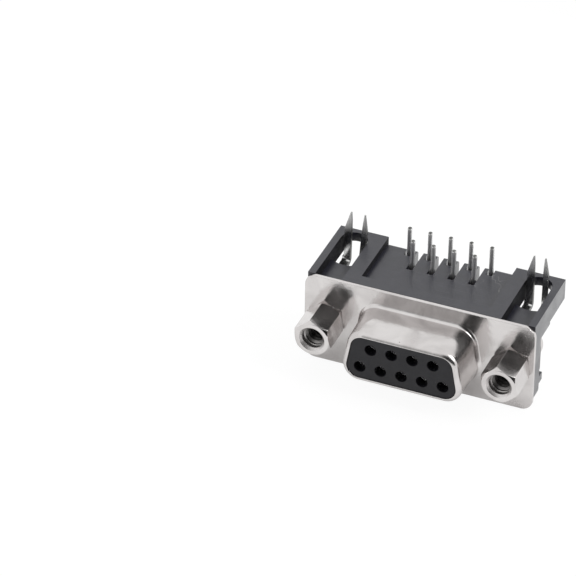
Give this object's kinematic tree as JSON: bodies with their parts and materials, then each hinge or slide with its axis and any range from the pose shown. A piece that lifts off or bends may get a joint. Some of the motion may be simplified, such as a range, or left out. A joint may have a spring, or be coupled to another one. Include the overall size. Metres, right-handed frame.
{
  "type": "right-angle d-subminiature socket connector",
  "caption": "Right-angle board-mount D connector with sockets, metal shell, hex jack screws and forked board locks, for a cable plug that screws on from the front.",
  "frame": {"origin": "centre of the D on the front face of the metal flange, midway between the two jack screws", "axes": "+X to the right for whoever plugs in, +Y to the rear away from the mating side, +Z towards the circuit board the tails are soldered into"},
  "size_m": [0.0308, 0.0176, 0.0167],
  "materials": {
    "shell_plate": "bright nickel plate",
    "screw_plate": "bright nickel plate",
    "contact_plate": "bright tin plate over copper alloy",
    "lock_plate": "bright tin plate over copper alloy",
    "insulator_plastic": "moulded satin",
    "housing_plastic": "moulded satin"
  },
  "bodies": {
    "root": {"front_shell": "shell_plate", "contact_block": "insulator_plastic", "contact_retainer": "insulator_plastic", "rear_housing": "housing_plastic", "rear_cover": "housing_plastic", "contact_1": "contact_plate", "contact_2": "contact_plate", "contact_3": "contact_plate", "contact_4": "contact_plate", "contact_5": "contact_plate", "contact_6": "contact_plate", "contact_7": "contact_plate", "contact_8": "contact_plate", "contact_9": "contact_plate", "board_lock_left": "lock_plate", "clinch_nut_left": "screw_plate", "jackscrew_left": "screw_plate", "board_lock_right": "lock_plate", "clinch_nut_right": "screw_plate", "jackscrew_right": "screw_plate"}
  },
  "joints": []
}
